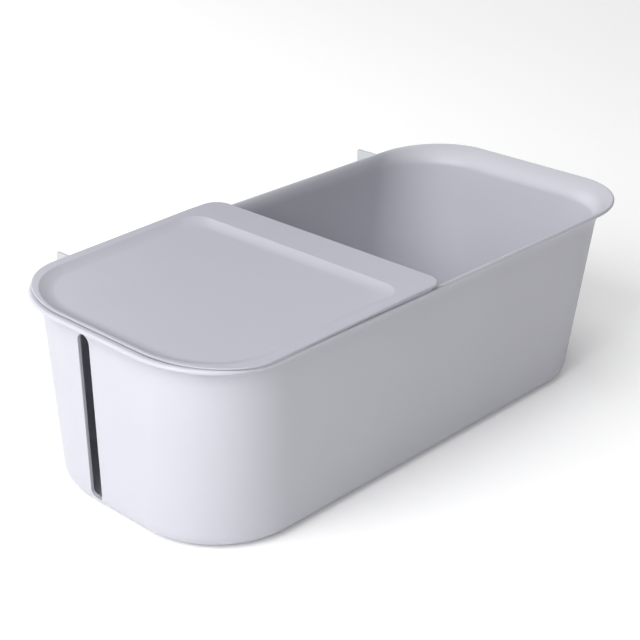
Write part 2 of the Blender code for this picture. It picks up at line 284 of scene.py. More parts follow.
# ---- finishes ----------------------------------------------------------------------------
class NodeBench:
    """A material's node tree with short ways to add nodes and join them."""

    def __init__(self, name: str) -> None:
        """Make an empty material.

        Args:
            name: the material's name.
        """
        self.material = bpy.data.materials.new(name)
        self.material.use_nodes = True
        self.tree = self.material.node_tree
        self.tree.nodes.clear()

    def node(self, kind: str, settings: dict[str, object] | None = None,
             **inputs: object) -> bpy.types.Node:
        """Add a node.

        Args:
            kind: the node's type without its ShaderNode prefix.
            settings: properties to set on it.
            **inputs: a value or an output socket for each input, with _ for a space.

        Returns:
            The new node.
        """
        made = self.tree.nodes.new("ShaderNode" + kind)
        for key, value in (settings or {}).items():
            setattr(made, key, value)
        for key, value in inputs.items():
            socket = made.inputs[key.replace("_", " ")]
            if isinstance(value, Socket):
                self.tree.links.new(value, socket)
            else:
                socket.default_value = value
        return made

    def spread(self, value: Socket, low: float, high: float) -> Socket:
        """Map a 0 to 1 signal onto low to high."""
        return self.node("MapRange", Value=value, From_Min=0.0, From_Max=1.0, To_Min=low,
                         To_Max=high).outputs["Result"]

    def noise(self, size: float, detail: float = 2.0, shift: float = 0.0) -> Socket:
        """Noise on the piece's own coordinates.

        Args:
            size: the size of its spots, in metres.
            detail: octaves of finer noise on top.
            shift: moves the pattern, so that two uses differ.

        Returns:
            The noise, from 0 to 1.
        """
        place = self.node("TexCoord").outputs["Object"]
        moved = self.node("Mapping", Vector=place, Location=(shift, shift, shift)).outputs["Vector"]
        return self.node("TexNoise", Vector=moved, Scale=1.0 / size, Detail=detail,
                         Roughness=0.55).outputs["Fac"]

    def edges(self, low: float, high: float) -> Socket:
        """How convex the surface is: 0 on flats and hollows, 1 on outer edges."""
        point = self.node("NewGeometry").outputs["Pointiness"]
        return self.node("MapRange", Value=point, From_Min=low, From_Max=high, To_Min=0.0,
                         To_Max=1.0).outputs["Result"]

    def mix(self, factor: Socket, low: Iterable[float],
            high: Iterable[float]) -> Socket:
        """Blend two colours by a factor."""
        ramp = self.node("ValToRGB", Fac=factor)
        for stop, colour in zip(ramp.color_ramp.elements, (low, high)):
            stop.color = (*colour, 1.0)
        return ramp.outputs["Color"]

    def bump(self, height: Socket, depth: float,
             under: Socket | None = None) -> Socket:
        """Raise the surface by a height signal.

        Args:
            height: the signal, from 0 to 1.
            depth: the rise in metres.
            under: a normal to build on.

        Returns:
            The bent normal.
        """
        more = {} if under is None else {"Normal": under}
        made = self.node("Bump", Height=height, Strength=1.0, Distance=depth, **more)
        return made.outputs["Normal"]

    def finish(self, shader: bpy.types.Node) -> bpy.types.Material:
        """Send a shader to the surface and return the material."""
        self.node("OutputMaterial", Surface=shader.outputs["BSDF"])
        return self.material


class Texture(Enum):
    """Grain of a mould's surface: (spot size, depth) in metres."""

    SATIN = (0.00055, 0.000010)
    FINE = (0.00040, 0.000007)
    CLEAR = (0.00090, 0.000004)
    PEEL = (0.00120, 0.000030)


@dataclass(frozen=True)
class MouldedPlastic:
    """Through-coloured satin plastic, as it comes out of a textured mould."""

    name: str
    colour: tuple[float, float, float]
    roughness: float
    grain: Texture
    mottle: float = 0.018          # share by which the colour drifts over the piece
    drift: float = 0.055           # size of that drift's patches
    waviness: float = 0.000012     # slow unevenness of the surface
    ripple: float = 0.035          # size of that unevenness's waves
    handled: float = 0.018         # size of the patches that handling leaves
    uneven: float = 0.03           # how much rougher or smoother those patches are
    worn_at: Point2 = (0.52, 0.60)  # how convex an edge is where its wear starts and is full
    fading: float = 1.05           # how much paler a worn edge is
    rubbed: float = 0.10           # how much smoother the rubbed edges are
    translucency: float = 0.0
    depth: float = 0.0012          # how far light soaks in

    def material(self) -> bpy.types.Material:
        """Build the node material.

        Returns:
            The material, ready to be assigned.
        """
        bench = NodeBench(self.name)
        drift = bench.noise(self.drift, 3.0)
        dark = [c * (1 - self.mottle) for c in self.colour]
        light = [min(c * (1 + self.mottle), 1.0) for c in self.colour]
        colour = bench.mix(drift, dark, light)
        edge = bench.edges(*self.worn_at)
        pale = [min(c * self.fading, 1.0) for c in self.colour]
        worn = bench.node("Mix", {"data_type": "RGBA"}, Factor=bench.spread(edge, 0.0, 0.5))
        bench.tree.links.new(colour, worn.inputs["A"])
        worn.inputs["B"].default_value = (*pale, 1.0)
        size, depth = self.grain.value
        patchy = bench.spread(bench.noise(self.handled, 4.0, 3.1), self.roughness - self.uneven,
                              self.roughness + self.uneven)
        smooth = bench.node("Math", {"operation": "MULTIPLY"})
        bench.tree.links.new(patchy, smooth.inputs[0])
        bench.tree.links.new(bench.spread(edge, 1.0, 1.0 - self.rubbed), smooth.inputs[1])
        slow = bench.bump(bench.noise(self.ripple, 1.0, 7.7), self.waviness)
        grainy = bench.bump(bench.noise(size, 1.5, 1.3), depth, slow)
        shader = bench.node("BsdfPrincipled", Base_Color=worn.outputs["Result"], Metallic=0.0,
                            Roughness=smooth.outputs["Value"], IOR=1.49, Normal=grainy)
        if self.translucency:
            shader.inputs["Subsurface Weight"].default_value = self.translucency
            shader.inputs["Subsurface Radius"].default_value = (1.0, 0.9, 0.85)
            shader.inputs["Subsurface Scale"].default_value = self.depth
        return bench.finish(shader)


@dataclass(frozen=True)
class Rubber:
    """Soft matt rubber with a fine orange-peel skin and a little dust."""

    name: str
    colour: tuple[float, float, float]
    roughness: float = 0.82

    def material(self) -> bpy.types.Material:
        """Build the node material."""
        bench = NodeBench(self.name)
        dusty = bench.mix(bench.noise(0.004, 4.0), [c * 0.85 for c in self.colour],
                          [min(c * 1.25 + 0.01, 1.0) for c in self.colour])
        rough = bench.spread(bench.noise(0.003, 3.0, 2.0), self.roughness - 0.08,
                             self.roughness + 0.06)
        size, depth = Texture.PEEL.value
        shader = bench.node("BsdfPrincipled", Base_Color=dusty, Roughness=rough, IOR=1.52,
                            Normal=bench.bump(bench.noise(size, 2.0), depth))
        return bench.finish(shader)


@dataclass(frozen=True)
class Fitting:
    """How a finished piece joins the frame: its body, finish slot and the parts it stands for."""

    body: str
    slot: str
    finish: MouldedPlastic | Rubber
    stands_for: tuple[str, ...] = ()


class Workshop:
    """Turns meshes into finished pieces and keeps count of them."""

    def __init__(self) -> None:
        """Start with no materials and no pieces."""
        self.materials: dict[str, bpy.types.Material] = {}
        self.pieces: list[bpy.types.Object] = []

    def finish(self, name: str, bm: BMesh, fitting: Fitting) -> bpy.types.Object:
        """Make a piece from a mesh, dress it and let it ride on its body.

        Args:
            name: the piece's name.
            bm: its mesh, already in place; it is freed.
            fitting: its body, slot, finish and the parts it stands for.

        Returns:
            The piece.
        """
        piece = draft_object(name, bm)
        key = fitting.finish.name
        if key not in self.materials:
            self.materials[key] = fitting.finish.material()
        piece.data.materials.append(self.materials[key])
        piece.data.shade_smooth()
        piece.data.set_sharp_from_angle(angle=SHARP_FROM)
        flat = piece.modifiers.new("flat_faces_stay_flat", "WEIGHTED_NORMAL")
        flat.keep_sharp = True
        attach(piece, fitting.body)
        if fitting.stands_for:
            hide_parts(*fitting.stands_for)
        self.pieces.append(piece)
        LOG.info("%s: %d faces, rides on %s", name, len(piece.data.polygons), fitting.body)
        return piece


# ---- tub ---------------------------------------------------------------------------------
@dataclass
class Tub:
    """The open tub: drafted walls, round corners, an outward lip and an upright cable slot."""

    rim_half_length: float
    rim_half_width: float
    rim_top: float
    base: float
    centre_y: float
    wall: float = 2.5 * MM
    floor: float = 3.0 * MM
    base_round: float = 9.0 * MM
    base_corner: float = 58.0 * MM
    corner_tighten: float = 6.4 * MM
    draft: Sides = Sides(2.2 * MM, 9.0 * MM, 9.6 * MM, 3.8 * MM)
    lip: Sides = Sides(8.5 * MM, 15.2 * MM, 3.2 * MM, 2.2 * MM)
    lip_rise: Point2 = (4.7 * MM, 10.0 * MM)
    near_rim_corner: Point2 = (47.6 * MM, 60.8 * MM)
    far_rim_corner: Point2 = (56.6 * MM, 48.8 * MM)
    lip_turn: float = math.radians(84)
    lip_lean: float = math.radians(72)
    edge_under: float = 0.5 * MM
    crown: Point2 = (1.9 * MM, 1.3 * MM)          # rounding of the rim's edge, across and down
    lip_rings: int = 20
    wall_rings: int = 9
    round_rings: int = 10
    under_rings: int = 5
    crown_rings: int = 7
    floor_rings: Point3 = (24.0 * MM, 6.0 * MM, 1.5 * MM)   # insets of the flat floor's rings
    slot_width: float = 10.2 * MM
    slot_low: float = 5.6 * MM
    slot_high: float = 115.6 * MM
    slot_offset: float = 20.4 * MM
    slot_round: float = 0.45 * MM
    slot_steps: int = 48
    slot_ahead: float = 2.0 * MM   # how far in front of the rim the slot's cut starts
    slot_through: float = 28.0 * MM
    slot_margin: float = 0.2 * MM

    @property
    def lip_end(self) -> float:
        """Height of the lip's underside at its edge."""
        return self.rim_top - self.wall * math.sin(self.lip_lean)

    def place(self, points: list[Point2], heights: Iterable[float]) -> Ring:
        """Lift a plan's points to their heights, round the tub's own centre line."""
        return [(x, y + self.centre_y, z) for (x, y), z in zip(points, heights)]

    def level(self, plan: Plan, z: float) -> Ring:
        """A plan's outline as a level ring."""
        points = plan.points()
        return self.place(points, [z] * len(points))

    def wall_plan(self, z: float, inset: float) -> Plan:
        """Outline of the outer wall at a height.

        Args:
            z: the height.
            inset: how far inside the wall's outer face.

        Returns:
            The outline.
        """
        up = (z - self.base) / (self.rim_top - self.base)
        long, wide = self.rim_half_length, self.rim_half_width
        reach = Sides(long - self.lip.near - self.draft.near * (1 - up),
                      long - self.lip.far - self.draft.far * (1 - up),
                      wide - self.lip.front - self.draft.front * (1 - up),
                      wide - self.lip.rear - self.draft.rear * (1 - up)).shrunk(inset)
        r = self.base_corner - self.corner_tighten * up - inset
        return Plan(reach, (r, r), (r, r))

    def rim_plan(self, inset: float) -> Plan:
        """Outline of the rim, moved in by inset."""
        long, wide = self.rim_half_length, self.rim_half_width
        near, far = ((rx - inset, ry - inset)
                     for rx, ry in (self.near_rim_corner, self.far_rim_corner))
        return Plan(Sides(long, long, wide, wide).shrunk(inset), near, far)

    def flat_ring(self, z: float, inset: float) -> Ring:
        """The wall's outline as a level ring."""
        return self.level(self.wall_plan(z, inset), z)

    def rim_ring(self, z: float, inset: float) -> Ring:
        """The rim's outline as a level ring."""
        return self.level(self.rim_plan(inset), z)

    def lip_ring(self, turn: float, inset: float, rim_inset: float, lift: float) -> Ring:
        """One ring of the lip, which rolls outward and rises more at the far end.

        Args:
            turn: how far the lip has turned, from 0 at the wall to lip_turn at its edge.
            inset: how far inside the wall's outer face the ring is.
            rim_inset: how far inside the rim its last ring is.
            lift: how far above the underside.

        Returns:
            The ring.
        """
        spread = (1 - math.cos(turn)) / (1 - math.cos(self.lip_turn))
        climb = 1 - math.sin(turn) / math.sin(self.lip_turn)
        rim = self.rim_plan(rim_inset).points()
        edge = self.rim_plan(0.0).points()
        top = self.wall_plan(self.rim_top, inset).points()
        rise_near, rise_far = self.lip_rise
        points, heights = [], []
        walls: dict[float, list[Point2]] = {}
        for i, ((rx, ry), (tx, ty)) in enumerate(zip(rim, top)):
            along = (rx + self.rim_half_length) / (2 * self.rim_half_length)
            z = self.lip_end - (rise_near + (rise_far - rise_near) * along) * climb
            wx, wy = walls.setdefault(round(z, 7), self.wall_plan(z, inset).points())[i]
            x, y = wx + (rx - tx) * spread, wy + (ry - ty) * spread
            points.append((x, y))
            sag = self.crowned(math.hypot(x - edge[i][0], y - edge[i][1])) if lift else 0.0
            heights.append(z + lift - sag)
        return self.place(points, heights)

    def crowned(self, inset: float) -> float:
        """How far the rim's rounded edge lies below its top, at an inset from the edge."""
        across, down = self.crown
        return down * (1 - math.sqrt(1 - max(1 - inset / across, 0.0) ** 2))

    def rounded_floor(self, z: float, radius: float, inset: float) -> list[Ring]:
        """Rings from the middle of a flat floor out and up into the wall.

        Args:
            z: the floor's height.
            radius: the rounding between floor and wall.
            inset: how far inside the wall's outer face the wall stands.

        Returns:
            The rings, inner first.
        """
        rings = [self.flat_ring(z, inset + radius + more) for more in self.floor_rings]
        return rings + [self.flat_ring(z + radius * rise, inset + radius * run)
                        for run, rise in quarter(self.round_rings)]

    def walls(self, low: float, high: float, inset: float) -> list[Ring]:
        """Rings up a wall between two heights, neither of them included."""
        return [self.flat_ring(low + (high - low) * k / self.wall_rings, inset)
                for k in range(1, self.wall_rings)]

    def lip_edge(self) -> list[Ring]:
        """Rings round the lip's outer edge, from its underside to its top."""
        over = self.wall * math.cos(self.lip_lean)
        rings = [self.rim_ring(self.lip_end + self.edge_under * rise, self.edge_under * run)
                 for run, rise in quarter(self.under_rings)[1:]]
        insets = [over * share for _, share in quarter(self.crown_rings)[:-1]]
        rings += [self.rim_ring(self.rim_top - self.crowned(inset), inset) for inset in insets]
        return rings

    def shell(self) -> BMesh:
        """The whole tub as one skin: up the outside, over the lip and down the inside."""
        top = self.lip_end - max(self.lip_rise)
        outer = self.rounded_floor(self.base, self.base_round, 0.0)
        outer += self.walls(self.base + self.base_round, top, 0.0)
        steps = [k / self.lip_rings for k in range(self.lip_rings + 1)]
        outer += [self.lip_ring(self.lip_turn * s, 0.0, self.edge_under, 0.0) for s in steps]
        inner_floor, inner_round = self.base + self.floor, self.base_round - self.wall
        inner = self.rounded_floor(inner_floor, inner_round, self.wall)
        inner += self.walls(inner_floor + inner_round, top, self.wall)
        for s in steps:
            lean = self.lip_lean * s
            inset = self.wall * math.cos(lean)
            inner.append(self.lip_ring(self.lip_turn * s, inset, inset, self.wall * math.sin(lean)))
        return Skin(outer[0]).grow(outer[1:] + self.lip_edge() + inner[::-1]).close()

    def slot_tool(self) -> BMesh:
        """A round-ended bar that cuts the cable slot through the near wall."""
        r = self.slot_width / 2
        bm = bmesh.new()
        made = bmesh.ops.create_circle(bm, cap_ends=True, radius=r, segments=self.slot_steps)
        ring = made["verts"]
        half_step = Euler((math.pi / self.slot_steps, 0.0, 0.0)).to_matrix()
        upright = Euler((0.0, math.pi / 2, 0.0)).to_matrix()
        bmesh.ops.rotate(bm, verts=ring, matrix=half_step @ upright)
        half = (self.slot_high - self.slot_low) / 2 - r
        for sign in (-1, 1):
            end = [v for v in ring if v.co.z * sign > 0]
            bmesh.ops.translate(bm, verts=end, vec=(0, 0, sign * half))
        start = (-self.rim_half_length - self.slot_ahead, self.centre_y + self.slot_offset,
                 (self.slot_high + self.slot_low) / 2)
        bmesh.ops.translate(bm, verts=ring, vec=start)
        grown = bmesh.ops.extrude_face_region(bm, geom=bm.faces[:])["geom"]
        bmesh.ops.translate(bm, verts=[g for g in grown if isinstance(g, BMVert)],
                            vec=(self.slot_through, 0, 0))
        bmesh.ops.recalc_face_normals(bm, faces=bm.faces)
        return bm

    def near_slot(self, point: Vector) -> bool:
        """Whether a point is on the slot's outline."""
        reach = self.slot_width / 2 + self.slot_margin
        return (point.x < -self.rim_half_length + self.slot_ahead + self.slot_through
                and abs(point.y - self.centre_y - self.slot_offset) < reach
                and self.slot_low - self.slot_margin < point.z < self.slot_high + self.slot_margin)

    def build(self, shop: Workshop, finish: MouldedPlastic) -> None:
        """Make the tub as one piece on its own body.

        Args:
            shop: finishes the piece.
            finish: the tub's plastic.
        """
        bm = carved(self.shell(), [("DIFFERENCE", self.slot_tool())])
        soften(bm, sharp(bm, 45.0, self.near_slot), self.slot_round, 4)
        shop.finish("tub_shell", bm, Fitting("tub", "tray_plastic", finish, ("tub",)))


@dataclass
class HookSocket:
    """A boss on the rear wall with an upright keyway that opens downward."""

    tub: Tub
    x: float
    key_low: Vector
    key_high: Vector
    face_y: float
    half_width: float = 7.2 * MM
    low: float = 58.0 * MM
    high: float = 106.0 * MM
    corner: float = 2.4 * MM
    face_round: float = 1.3 * MM
    flare: float = 2.2 * MM
    roof: float = 6.0 * MM
    gap: float = 0.3 * MM
    edge_round: float = 0.25 * MM
    sunk: float = 1.0 * MM         # how deep the boss's first ring lies in the wall
    overcut: Point2 = (6.0 * MM, 4.0 * MM)        # the keyway's cut past the boss, upright and back

    def wall_y(self, z: float) -> float:
        """Where the tub's rear wall stands at a height."""
        return self.tub.centre_y + self.tub.wall_plan(z, 0.0).reach.rear

    def outline(self, grow: float) -> list[Point2]:
        """The boss seen from behind, as (x, z) points, grown by a margin."""
        half_x, half_z = self.half_width + grow, (self.high - self.low) / 2 + grow
        r = self.corner + grow
        steps = Divisions(corner=8, long=1, near=6, far=6)
        plan = Plan(Sides(half_x, half_x, half_z, half_z), (r, r), (r, r), steps)
        middle = (self.high + self.low) / 2
        return [(self.x + px, middle + pz) for px, pz in plan.points()]

    def ring(self, grow: float, rise: float) -> Ring:
        """One ring of the boss, which follows the wall's slope.

        Args:
            grow: margin round its outline.
            rise: height above the wall.

        Returns:
            The ring.
        """
        return [(x, self.wall_y(z) + rise, z) for x, z in self.outline(grow)]

    def boss(self) -> BMesh:
        """The boss with a flared foot and a rounded face."""
        rings = [self.ring(self.flare, -self.sunk)]
        rings += [self.ring(self.flare * run, self.flare * rise) for run, rise in quarter(6)]
        for run, inset in quarter(5):
            rings.append([(x, self.face_y - self.face_round * run, z)
                          for x, z in self.outline(-self.face_round * inset)])
        return Skin(rings[0]).grow(rings[1:]).close()

    def keyway(self) -> list[tuple[str, BMesh]]:
        """The room for the hook's foot plate, and the slit that its stem passes through."""
        upright, back = self.overcut
        below = self.low - upright
        room = block((self.key_low.x - self.gap, self.key_low.y - self.gap, below),
                     (self.key_high.x + self.gap, self.key_high.y + self.gap,
                      self.high - self.roof))
        half = HangingHook.thick / 2 + self.gap
        slit = block((self.x - half, self.key_low.y + self.gap, below),
                     (self.x + half, self.face_y + back, self.high + upright))
        return [("DIFFERENCE", room), ("DIFFERENCE", slit)]

    def build(self, shop: Workshop, finish: MouldedPlastic, name: str) -> None:
        """Make the socket, moulded on to the tub.

        Args:
            shop: finishes the piece.
            finish: the tub's plastic.
            name: the piece's name.
        """
        bm = carved(self.boss(), self.keyway())
        soften(bm, sharp(bm, 60.0, lambda point: point.y > self.key_low.y), self.edge_round, 2)
        shop.finish(name, bm, Fitting("tub", "tray_plastic", finish))


# ---- lid ---------------------------------------------------------------------------------
@dataclass
class HalfLid:
    """The lift-off lid: a raised border round a shallow pocket, highest at its free edge."""

    tub: Tub
    near_x: float
    far_x: float
    widest: float                  # how far the long edges reach outside the rim at most
    far_top: float
    near_top: float
    gap: float = 0.3 * MM
    near_corner: Point2 = (43.2 * MM, 63.0 * MM)
    far_corner: float = 12.0 * MM
    shell: float = 1.8 * MM
    flare: float = 0.15            # widening towards the free edge, per metre
    flare_from: float = -150.0 * MM
    flange: float = 1.3 * MM
    step_out: Point3 = (0.4 * MM, 3.2 * MM, 1.8 * MM)
    step_in: Point3 = (1.2 * MM, 6.0 * MM, 3.6 * MM)
    edge: Point3 = (0.8 * MM, 1.0 * MM, 1.0 * MM)
    drop: float = 0.8 * MM
    nest: float = 0.5
    strip: float = 27.0 * MM
    border_near: float = 1.8 * MM
    border_side: float = 7.6 * MM
    slope: float = 10.0 * MM
    pocket: float = 2.8 * MM
    pocket_corner: float = 15.0 * MM
    slope_rings: int = 24
    rib: float = 1.6 * MM
    rib_low: float = 119.0 * MM
    rib_gap: float = 0.9 * MM
    rib_side_x: Point2 = (-126.3 * MM, -50.6 * MM)
    rib_end_half: float = 30.0 * MM
    rib_round: float = 0.3 * MM
    thinnest: float = 1.0 * MM     # the border between its two faces, at least
    rises: Point3 = (0.3 * MM, 0.1 * MM, 0.05 * MM)   # least heights of the underside over the seat
    rounding_share: float = 0.55   # share of the edge's height that its upper rounding may take
    soft_foot: float = 0.6         # below 1 the pocket's slope starts steeper and ends softer
    blend_over: float = 0.8        # share of the pocket's depth over which its underside blends in
    bunching: float = 1.3          # above 1 the slope's rings lie closer at its top
    edge_low: float = 0.2 * MM     # rounding of the lower edge
    pocket_rings: Point2 = (1.5 * MM, 8.0 * MM)
    steps: Divisions = Divisions(corner=26, long=40, near=10, far=30)

    @property
    def half_width(self) -> float:
        """Half the lid's width where its flare starts."""
        grown = 1 + self.flare * (self.far_x - self.far_corner - self.flare_from)
        return (self.tub.rim_half_width + self.widest) / grown

    def top(self, x: float) -> float:
        """Height of the border, which climbs from the near edge to the raised strip."""
        t = (x - self.near_x) / (self.far_x - self.strip - self.near_x)
        return self.near_top + (self.far_top - self.near_top) * min(max(t, 0.0), 1.0)

    def bottom(self, x: float) -> float:
        """The lid rests on the rim, except that its near end drops inside the lip."""
        end = self.near_x + self.nest * self.near_corner[0]
        t = min(max((end - x) / (end - self.near_x), 0.0), 1.0)
        return self.tub.rim_top + self.gap - self.drop * ease(t)

    def soffit(self, x: float) -> float:
        """Underside of the border."""
        recess = max(self.top(x) - self.shell, self.bottom(x) + self.rises[0])
        return max(min(recess, self.top(x) - self.thinnest), self.bottom(x) + self.rises[1])

    def lower_edge(self, x: float) -> float:
        """Underside of the edge, outside the step that stands on the rim."""
        return max(self.top(x) - self.flange, self.bottom(x) + self.rises[2])

    def shoulder(self, x: float, share: float) -> float:
        """Height on the rounding between side and top: share is 1 where it starts."""
        room = self.rounding_share * (self.top(x) - self.lower_edge(x))
        return self.top(x) - share * min(self.edge[1], room)

    def sink(self, t: float) -> float:
        """Depth of the pocket across its slope: steep near the border, with a long soft foot."""
        return self.pocket * ease(t ** self.soft_foot)

    def ring(self, insets: Point3, far_corner: float, height: Callable[[float], float]) -> Ring:
        """A ring with its own inset at the near edge, the long sides and the free edge.

        Args:
            insets: the near, side and far insets.
            far_corner: corner radius at the free edge.
            height: gives the ring's height at each x.

        Returns:
            The ring.
        """
        near, side, far = insets
        low, high = self.near_x + near, self.far_x - far
        middle, half = (low + high) / 2, (high - low) / 2
        width = self.half_width - side
        corner = (self.near_corner[0] - near, self.near_corner[1] - side)
        plan = Plan(Sides(half, half, width, width), corner, (far_corner, far_corner), self.steps)
        points = [(x + middle, y * (1 + self.flare * (x + middle - self.flare_from)))
                  for x, y in plan.points()]
        return self.tub.place(points, [height(x) for x, _ in points])

    def edge_ring(self, insets: Point3, height: Callable[[float], float]) -> Ring:
        """A ring near the lid's outer edge."""
        return self.ring(insets, self.far_corner - insets[2], height)

    def slope_ring(self, t: float, height: Callable[[float], float], more: float = 0.0) -> Ring:
        """A ring on the pocket's slope: t is 0 at its top and 1 at its foot."""
        foot = self.slope * t + more
        insets = (self.border_near + foot, self.border_side + foot, self.strip + foot)
        return self.ring(insets, self.pocket_corner, height)

    def underside(self, t: float) -> Ring:
        """A ring under the pocket's slope, which blends into the border's underside."""
        sink, deep = self.sink(t), self.blend_over * self.pocket
        blend = min(sink / deep, 1.0)
        return self.slope_ring(t, lambda x: (self.soffit(x) * (1 - blend)
                                             + (self.top(x) - self.shell) * blend - sink))

    def skin(self) -> BMesh:
        """The lid as one skin: out along its underside, over its edge and into the pocket."""
        shares = [(k / self.slope_rings) ** self.bunching for k in range(self.slope_rings + 1)]
        rings = [self.underside(t) for t in shares[::-1]]
        rings += [self.edge_ring(self.step_in, self.soffit),
                  self.edge_ring(self.step_in, self.bottom),
                  self.edge_ring(self.step_out, self.bottom),
                  self.edge_ring(self.step_out, self.lower_edge)]
        for run, climb in quarter(3):
            inset, rise = self.edge_low * run, self.edge_low * climb
            rings.append(self.edge_ring((inset,) * 3, lambda x, r=rise: self.lower_edge(x) + r))
        for run, share in quarter(8):
            near, side, far = (e * share for e in self.edge)
            rings.append(self.edge_ring((near, side, far), lambda x, s=run: self.shoulder(x, s)))
        rings += [self.slope_ring(t, lambda x, s=self.sink(t): self.top(x) - s) for t in shares]
        for more in self.pocket_rings:
            rings.append(self.slope_ring(1.0, lambda x: self.top(x) - self.pocket, more))
        return Skin(rings[0]).grow(rings[1:]).close()

    def ribs(self) -> dict[str, BMesh]:
        """The ribs under the lid that keep it from sliding; their tops run inside the lid."""
        reach = self.tub.wall_plan(self.tub.rim_top - 4 * MM, self.tub.wall + self.rib_gap).reach
        shapes = {}
        for side, sy, far in (("front", -1, reach.front), ("rear", 1, reach.rear)):
            across = self.half_width - far + self.rib - self.border_side + 0.8 * MM
            below = self.sink(min(max(across / self.slope, 0.0), 1.0)) + 0.35 * MM
            y = sorted(self.tub.centre_y + sy * d for d in (far, far - self.rib))
            bm = block((self.rib_side_x[0], y[0], self.rib_low),
                       (self.rib_side_x[1], y[1], self.tub.rim_top))
            for vert in (v for v in bm.verts if v.co.z > self.rib_low + 1 * MM):
                vert.co.z = self.top(vert.co.x) - below
            shapes[f"lid_rib_{side}"] = bm
        x = -self.tub.rim_half_length + self.tub.lip.near + self.tub.wall + self.rib_gap
        y, half = self.tub.centre_y, self.rib_end_half
        rib_top = self.top(x) - self.pocket - 0.5 * MM
        shapes["lid_rib_near"] = block((x, y - half, self.rib_low), (x + self.rib, y + half, rib_top))
        return shapes

    def build(self, shop: Workshop, finish: MouldedPlastic) -> None:
        """Make the lid and its ribs on the lid's body.

        Args:
            shop: finishes the pieces.
            finish: the lid's plastic.
        """
        shop.finish("lid_shell", self.skin(), Fitting("lid", "lid_plastic", finish, ("lid",)))
        for name, bm in self.ribs().items():
            soften(bm, bm.edges[:], self.rib_round)
            shop.finish(name, bm, Fitting("lid", "lid_plastic", finish))


# ---- hooks and feet ----------------------------------------------------------------------
@dataclass
class HangingHook:
    """A flat hook: a stem with a foot plate, an arm over the rim and a finger behind the rail."""

    node: str
    rim_rear: float
    socket_top: float
    stem: float = 3.5 * MM
    stem_in: float = 1.2 * MM
    arm: float = 14.0 * MM
    finger: float = 5.4 * MM
    finger_low: float = 70.0 * MM
    lip_gap: float = 0.6 * MM
    plate: float = 2.4 * MM
    face: float = 2.0 * MM         # the socket's face, behind the foot plate
    neck: Point2 = (2.0 * MM, 3.0 * MM)           # where the stem widens above the socket
    inner_round: float = 1.2 * MM
    crown_round: float = 1.0 * MM
    thick: float = 2.2 * MM
    soft: float = 0.35 * MM

    def blade(self, low: Vector, high: Vector) -> BMesh:
        """The flat blade, extruded from its side view.

        Args:
            low: the part's lowest corner.
            high: its highest corner.

        Returns:
            The blade's mesh.
        """
        stem_y = low.y + self.stem_in
        out_y = low.y + self.plate + HookSocket.gap + self.face + self.stem
        finger_y, arm_z = high.y - self.finger, high.z - self.arm
        clear = self.rim_rear + self.lip_gap
        neck_low, neck_high = (self.socket_top + rise for rise in self.neck)
        tip, inner, crown = self.finger / 2 - 0.02 * MM, self.inner_round, self.crown_round
        outline = [(stem_y, low.z, 0), (out_y, low.z, 0), (out_y, arm_z, inner),
                   (finger_y, arm_z, inner), (finger_y, self.finger_low, tip),
                   (high.y, self.finger_low, tip), (high.y, high.z, crown), (clear, high.z, 0),
                   (clear, neck_high, 0), (stem_y, neck_low, 0)]
        bm = bmesh.new()
        x0 = (low.x + high.x) / 2 - self.thick / 2
        verts = [bm.verts.new((x0, y, z)) for y, z, _ in outline]
        bm.faces.new(verts)
        for radius in sorted({r for _, _, r in outline if r}):
            group = [v for v, (_, _, r) in zip(verts, outline) if r == radius]
            bmesh.ops.bevel(bm, geom=group, offset=radius, offset_type="OFFSET", segments=10,
                            profile=0.5, affect="VERTICES", clamp_overlap=False, material=-1)
        grown = bmesh.ops.extrude_face_region(bm, geom=bm.faces[:])["geom"]
        bmesh.ops.translate(bm, verts=[g for g in grown if isinstance(g, BMVert)],
                            vec=(self.thick, 0, 0))
        bmesh.ops.recalc_face_normals(bm, faces=bm.faces)
        return bm

    def build(self, shop: Workshop, finish: MouldedPlastic) -> None:
        """Make the hook on its own body.

        Args:
            shop: finishes the piece.
            finish: the hook's plastic.
        """
        low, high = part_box(self.node)
        top = self.socket_top - HookSocket.roof - HookSocket.gap
        key = block((low.x, low.y, low.z), (high.x, low.y + self.plate, top))
        bm = carved(self.blade(low, high), [("UNION", key)])
        soften(bm, sharp(bm, 50.0), self.soft)
        fitting = Fitting(self.node, "hook_plastic", finish, (self.node,))
        shop.finish(f"{self.node}_blade", bm, fitting)


@dataclass
class RubberFoot:
    """A round pad let into the base, with a soft lower edge and a shallow dimple."""

    node: str
    round_low: float = 0.4 * MM
    dimple: float = 0.25 * MM
    ring_share: float = 0.45       # share of the radius that stays flat round the dimple

    def build(self, shop: Workshop, finish: Rubber) -> None:
        """Make the foot on the tub's body.

        Args:
            shop: finishes the piece.
            finish: the foot's rubber.
        """
        low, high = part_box(self.node)
        radius, tall = (high.x - low.x) / 2, high.z - low.z
        bm = bmesh.new()
        bmesh.ops.create_cone(bm, cap_ends=True, segments=64, radius1=radius, radius2=radius,
                              depth=tall)
        bmesh.ops.translate(bm, verts=bm.verts, vec=(low + high) / 2)
        under = [f for f in bm.faces if f.normal.z < -0.9]
        bmesh.ops.inset_region(bm, faces=under, thickness=radius * self.ring_share, depth=0.0)
        under = [f for f in bm.faces if f.normal.z < -0.9 and len(f.verts) > 4]
        bmesh.ops.inset_region(bm, faces=under, thickness=self.dimple, depth=-self.dimple)
        soften(bm, sharp(bm, 60.0), self.round_low)
        shop.finish(f"{self.node}_pad", bm, Fitting("tub", "foot_rubber", finish, (self.node,)))


